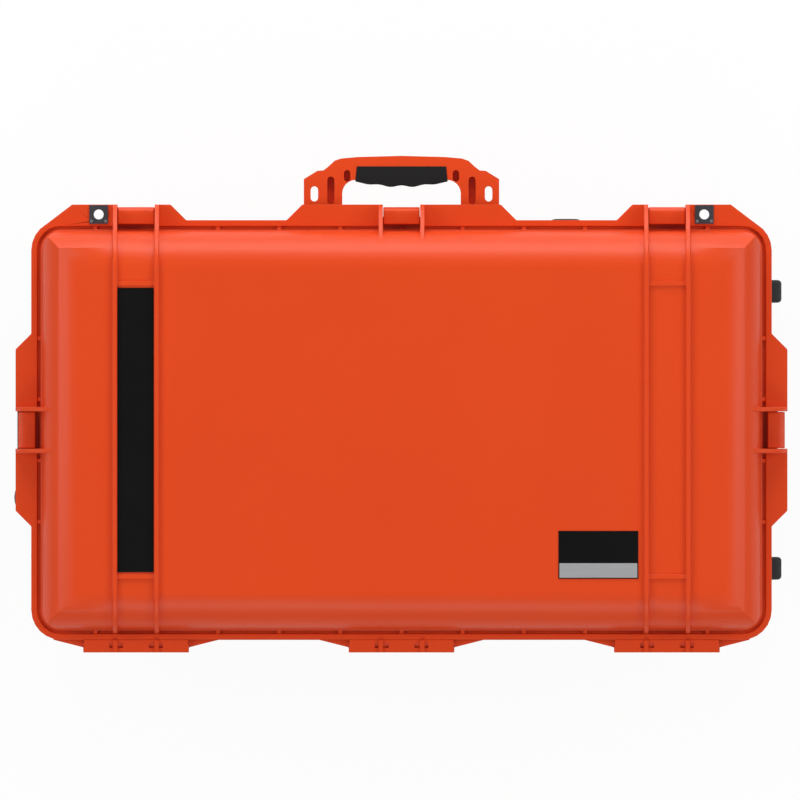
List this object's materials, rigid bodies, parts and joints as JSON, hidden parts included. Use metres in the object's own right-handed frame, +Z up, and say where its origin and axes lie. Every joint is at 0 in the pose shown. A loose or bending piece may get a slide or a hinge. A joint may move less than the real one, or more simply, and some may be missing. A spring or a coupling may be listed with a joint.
{
  "type": "hard equipment case",
  "caption": "Long wheeled hard case with a domed lid, guarded latches, padlock eyes, pressure valve, folding carrying handles and a telescopic pull handle.",
  "frame": {"origin": "on the floor under the middle of the body, on the underside of the pull handle's cover", "axes": "+Z up through the lid, case lying on its base; -Y to the front with the carrying handle and latches; +Y to the hinges; +X to the end with the pull handle; -X to the end with the wheels"},
  "size_m": [0.8318, 0.533, 0.28],
  "materials": {
    "orange_resin": "fine-grained moulding",
    "black_plastic": "fine-grained moulding",
    "black_rubber": "matt",
    "wheel_tyre": "matt",
    "grey_steel": "brushed",
    "bright_steel": "satin",
    "drawn_aluminium": "satin anodised",
    "black_label": "satin film",
    "badge": "black over a silver band, bare"
  },
  "bodies": {
    "base": {"base_shell": "orange_resin", "base_padlock_plates": "grey_steel", "base_plate_rivets": "bright_steel", "hinge_pins": "bright_steel", "latch_pins": "bright_steel", "handle_pins": "bright_steel", "wheel_housings": "black_plastic", "wheel_axles": "bright_steel", "pull_handle_sleeves": "drawn_aluminium", "pull_handle_cover": "black_plastic", "cover_screws": "bright_steel", "pull_handle_bezel": "black_plastic", "bezel_screws": "bright_steel", "valve_cap": "black_plastic", "valve_seal": "black_rubber", "valve_nut": "black_plastic", "release_spring": "bright_steel"},
    "lid": {"lid_shell": "orange_resin", "lid_gasket": "black_rubber", "lid_padlock_plates": "grey_steel", "lid_plate_rivets": "bright_steel", "name_strip": "black_label", "badge_plate": "badge"},
    "latch_front_wheel_side": {"latch_front_wheel_side": "orange_resin", "spring_front_wheel_side": "bright_steel"},
    "button_front_wheel_side": {"button_front_wheel_side": "orange_resin"},
    "latch_front_centre": {"latch_front_centre": "orange_resin", "spring_front_centre": "bright_steel"},
    "button_front_centre": {"button_front_centre": "orange_resin"},
    "latch_front_pull_side": {"latch_front_pull_side": "orange_resin", "spring_front_pull_side": "bright_steel"},
    "button_front_pull_side": {"button_front_pull_side": "orange_resin"},
    "latch_wheel_end": {"latch_wheel_end": "orange_resin", "spring_wheel_end": "bright_steel"},
    "button_wheel_end": {"button_wheel_end": "orange_resin"},
    "latch_pull_end": {"latch_pull_end": "orange_resin", "spring_pull_end": "bright_steel"},
    "button_pull_end": {"button_pull_end": "orange_resin"},
    "front_handle": {"front_handle_frame": "orange_resin", "front_handle_grip": "black_rubber"},
    "end_handle": {"end_handle_frame": "orange_resin", "end_handle_grip": "black_rubber"},
    "pull_middle": {"pull_handle_middle_tubes": "drawn_aluminium"},
    "pull_inner": {"pull_handle_inner_tubes": "drawn_aluminium", "pull_handle_grip": "black_plastic"},
    "release_button": {"release_button": "black_plastic"},
    "front_wheel": {"front_wheel_tyre": "wheel_tyre", "front_wheel_hub": "black_plastic", "front_wheel_bearings": "bright_steel"},
    "back_wheel": {"back_wheel_tyre": "wheel_tyre", "back_wheel_hub": "black_plastic", "back_wheel_bearings": "bright_steel"}
  },
  "joints": [
    {"name": "lid_hinge", "type": "hinge", "parent": "base", "child": "lid", "pos_m": [0, 0.2331, 0.2162], "axis": [-1, 0, 0], "range_deg": [0, 105]},
    {"name": "latch_turn_front_wheel_side", "type": "hinge", "parent": "base", "child": "latch_front_wheel_side", "pos_m": [-0.2846, -0.227, 0.176], "axis": [1, 0, 0], "range_deg": [0, 95]},
    {"name": "button_push_front_wheel_side", "type": "slide", "parent": "latch_front_wheel_side", "child": "button_front_wheel_side", "axis": [0, 1, 0], "range_m": [0, 0.0025], "stiffness_N_per_m": 400, "springref_m": -0.002, "deforming": ["spring_front_wheel_side"]},
    {"name": "latch_turn_front_centre", "type": "hinge", "parent": "base", "child": "latch_front_centre", "pos_m": [0, -0.227, 0.176], "axis": [1, 0, 0], "range_deg": [0, 30]},
    {"name": "button_push_front_centre", "type": "slide", "parent": "latch_front_centre", "child": "button_front_centre", "axis": [0, 1, 0], "range_m": [0, 0.0025], "stiffness_N_per_m": 400, "springref_m": -0.002, "deforming": ["spring_front_centre"]},
    {"name": "latch_turn_front_pull_side", "type": "hinge", "parent": "base", "child": "latch_front_pull_side", "pos_m": [0.2846, -0.227, 0.176], "axis": [1, 0, 0], "range_deg": [0, 95]},
    {"name": "button_push_front_pull_side", "type": "slide", "parent": "latch_front_pull_side", "child": "button_front_pull_side", "axis": [0, 1, 0], "range_m": [0, 0.0025], "stiffness_N_per_m": 400, "springref_m": -0.002, "deforming": ["spring_front_pull_side"]},
    {"name": "latch_turn_wheel_end", "type": "hinge", "parent": "base", "child": "latch_wheel_end", "pos_m": [-0.399, 0, 0.176], "axis": [0, -1, 0], "range_deg": [0, 95]},
    {"name": "button_push_wheel_end", "type": "slide", "parent": "latch_wheel_end", "child": "button_wheel_end", "axis": [1, 0, 0], "range_m": [0, 0.0025], "stiffness_N_per_m": 400, "springref_m": -0.002, "deforming": ["spring_wheel_end"]},
    {"name": "latch_turn_pull_end", "type": "hinge", "parent": "base", "child": "latch_pull_end", "pos_m": [0.399, 0, 0.176], "axis": [0, 1, 0], "range_deg": [0, 30]},
    {"name": "button_push_pull_end", "type": "slide", "parent": "latch_pull_end", "child": "button_pull_end", "axis": [-1, 0, 0], "range_m": [0, 0.0025], "stiffness_N_per_m": 400, "springref_m": -0.002, "deforming": ["spring_pull_end"]},
    {"name": "front_handle_turn", "type": "hinge", "parent": "base", "child": "front_handle", "pos_m": [0, -0.228, 0.189], "axis": [1, 0, 0], "range_deg": [0, 90]},
    {"name": "end_handle_turn", "type": "hinge", "parent": "base", "child": "end_handle", "pos_m": [0.4, 0, 0.189], "axis": [0, -1, 0], "range_deg": [0, 90]},
    {"name": "pull_stage_one", "type": "slide", "parent": "base", "child": "pull_middle", "axis": [1, 0, 0], "range_m": [0, 0.22]},
    {"name": "pull_stage_two", "type": "slide", "parent": "pull_middle", "child": "pull_inner", "axis": [1, 0, 0], "range_m": [0, 0.22]},
    {"name": "release_push", "type": "slide", "parent": "base", "child": "release_button", "axis": [-1, 0, 0], "range_m": [0, 0.005], "stiffness_N_per_m": 300, "springref_m": -0.003, "deforming": ["release_spring"]},
    {"name": "front_wheel_spin", "type": "hinge", "parent": "base", "child": "front_wheel", "pos_m": [-0.372, -0.1494, 0.039], "axis": [0, 1, 0], "continuous": true},
    {"name": "back_wheel_spin", "type": "hinge", "parent": "base", "child": "back_wheel", "pos_m": [-0.372, 0.1494, 0.039], "axis": [0, 1, 0], "continuous": true}
  ]
}
